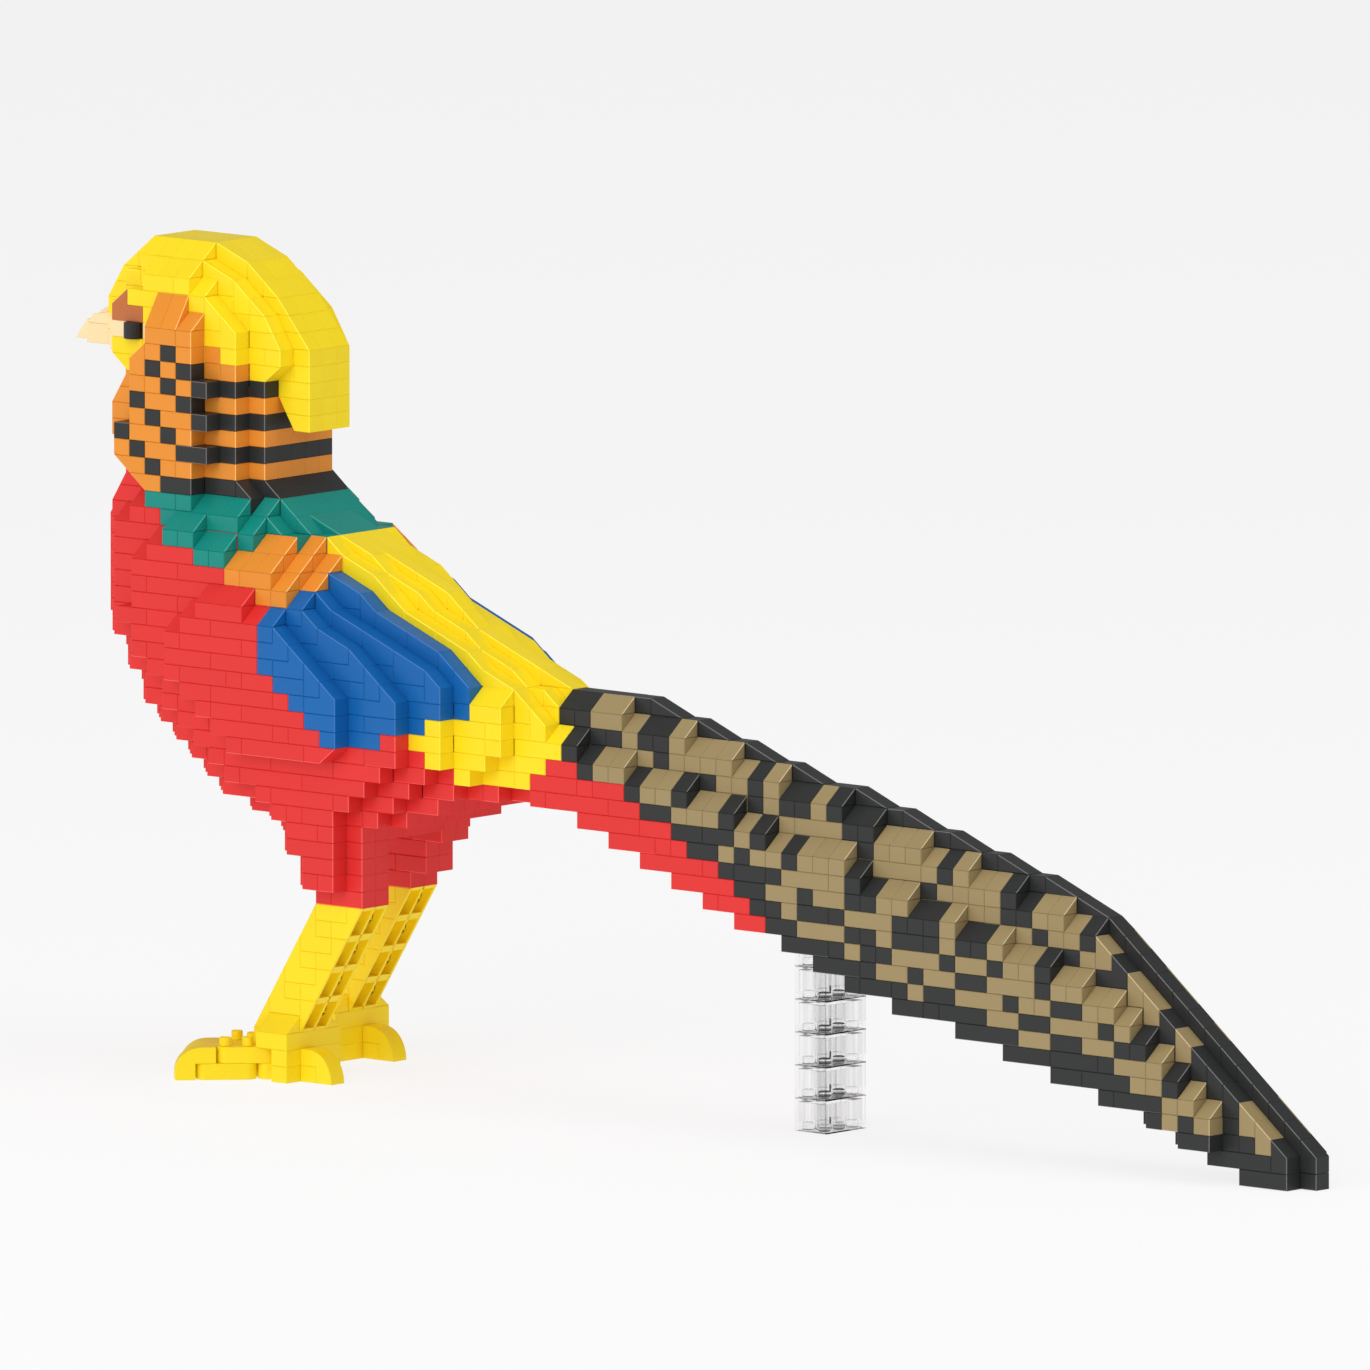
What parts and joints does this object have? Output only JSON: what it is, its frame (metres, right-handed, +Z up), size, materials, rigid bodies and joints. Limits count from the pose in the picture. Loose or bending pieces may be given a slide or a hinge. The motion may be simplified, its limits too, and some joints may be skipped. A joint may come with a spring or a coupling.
{
  "type": "brick-built golden pheasant model",
  "caption": "Micro-brick toy model of a standing golden pheasant with yellow crest, barred neck cape, red body and long stepped tail on a clear column.",
  "frame": {"origin": "centre of the bounding box at floor level", "axes": "+X from beak to tail tip, +Y to the bird's right side, +Z up"},
  "size_m": [0.316, 0.0656, 0.16],
  "materials": {
    "beak": "satin gloss cream",
    "yellow_brick": "satin gloss",
    "brown_brick": "satin gloss",
    "black_brick": "satin gloss, with tan bricks set in the tail",
    "orange_brick": "satin gloss, with black bricks set in the neck",
    "teal_brick": "satin gloss",
    "blue_brick": "satin gloss",
    "red_brick": "satin gloss",
    "clear_brick": "clear"
  },
  "bodies": {
    "root": {"beak": "beak", "face": "yellow_brick", "crest": "yellow_brick", "brow_left": "brown_brick", "brow_right": "brown_brick", "eye_left": "black_brick", "eye_right": "black_brick", "cape": "orange_brick", "mantle": "teal_brick", "shoulder_left": "orange_brick", "shoulder_right": "orange_brick", "wing_left": "blue_brick", "wing_right": "blue_brick", "back": "yellow_brick", "torso": "red_brick", "thigh_left": "red_brick", "thigh_right": "red_brick", "shank_left": "yellow_brick", "shank_right": "yellow_brick", "foot_left": "yellow_brick", "foot_right": "yellow_brick", "claw_left": "yellow_brick", "claw_right": "yellow_brick", "tail_coverts": "red_brick", "tail": "black_brick", "stand_column": "clear_brick"}
  },
  "joints": []
}
